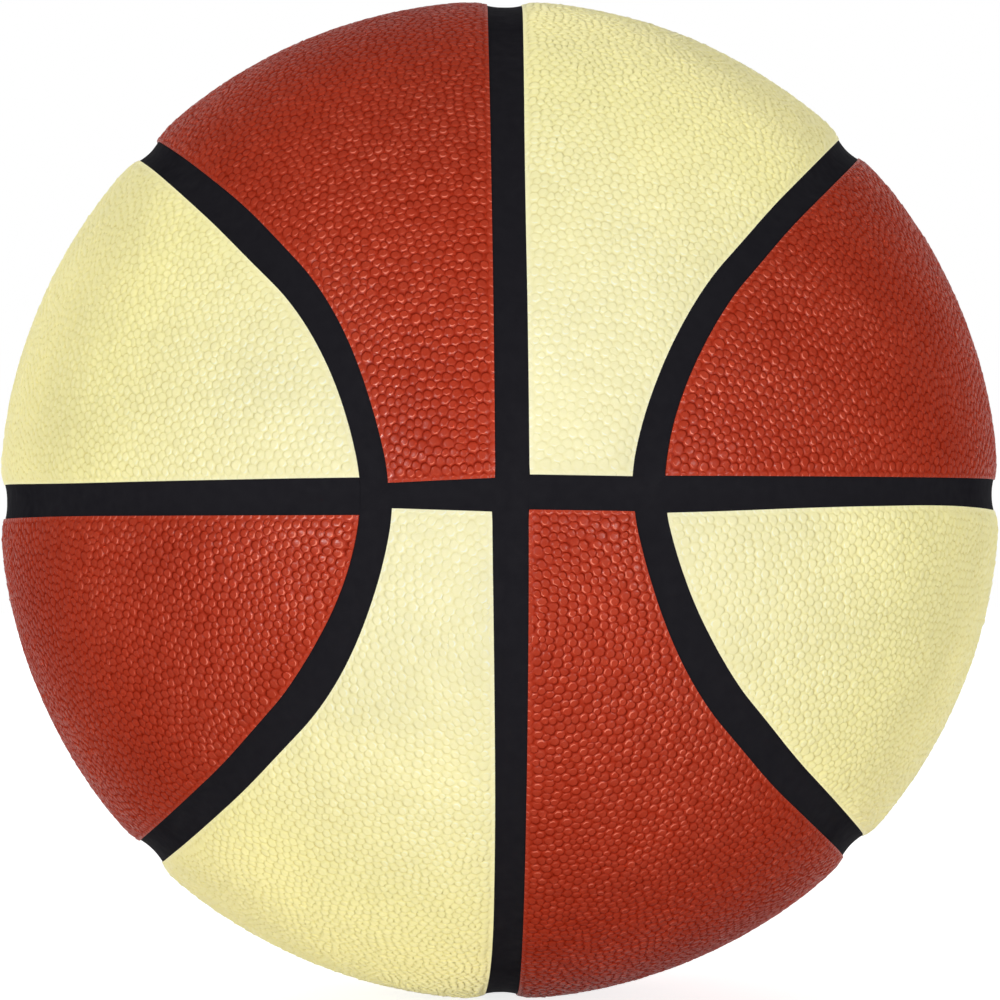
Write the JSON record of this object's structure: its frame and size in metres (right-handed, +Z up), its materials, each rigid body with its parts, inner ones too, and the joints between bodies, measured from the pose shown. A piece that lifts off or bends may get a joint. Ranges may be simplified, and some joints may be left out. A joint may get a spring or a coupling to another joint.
{
  "type": "basketball",
  "caption": "Laminated basketball with pebbled red and cream cover panels, recessed black channels, a thread-wound carcass, a bladder and a needle valve with a core that pulls out.",
  "frame": {"origin": "centre of the ball", "axes": "+Z up, +X to the right and -Y to the front as pictured, where the equator channel (plane Z = 0) and the meridian channel (plane X = 0) cross; the valve is at the back, near +Y"},
  "size_m": [0.2418, 0.2416, 0.2418],
  "materials": {
    "cover_red": "pebbled, semi-matt",
    "cover_cream": "pebbled, semi-matt",
    "channel_rubber": "smooth, matt",
    "sponge": "foamed, matt",
    "carcass_rubber": "moulded, matt",
    "winding_nylon": "wound thread",
    "bladder_butyl": "smooth, satin",
    "valve_rubber": "moulded, satin"
  },
  "bodies": {
    "ball": {"bladder": "bladder_butyl", "nylon_winding": "winding_nylon", "carcass": "carcass_rubber", "valve_body": "valve_rubber", "meridian_strip": "channel_rubber", "right_oval_strip": "channel_rubber", "left_oval_strip": "channel_rubber", "right_side_equator_strip": "channel_rubber", "left_side_equator_strip": "channel_rubber", "right_front_equator_strip": "channel_rubber", "left_front_equator_strip": "channel_rubber", "right_back_equator_strip": "channel_rubber", "left_back_equator_strip": "channel_rubber", "upper_right_arch_sponge": "sponge", "upper_left_arch_sponge": "sponge", "lower_right_arch_sponge": "sponge", "lower_left_arch_sponge": "sponge", "upper_right_side_sponge": "sponge", "upper_left_side_sponge": "sponge", "lower_right_side_sponge": "sponge", "lower_left_side_sponge": "sponge", "upper_right_arch_panel": "cover_cream", "upper_left_arch_panel": "cover_red", "lower_right_arch_panel": "cover_red", "lower_left_arch_panel": "cover_cream", "upper_right_side_panel": "cover_red", "upper_left_side_panel": "cover_cream", "lower_right_side_panel": "cover_cream", "lower_left_side_panel": "cover_red"},
    "valve_core": {"valve_core": "valve_rubber"}
  },
  "joints": [
    {"name": "valve_core_pull", "type": "slide", "parent": "ball", "child": "valve_core", "axis": [0.1371, 0.9752, 0.1736], "range_m": [0, 0.018]}
  ]
}
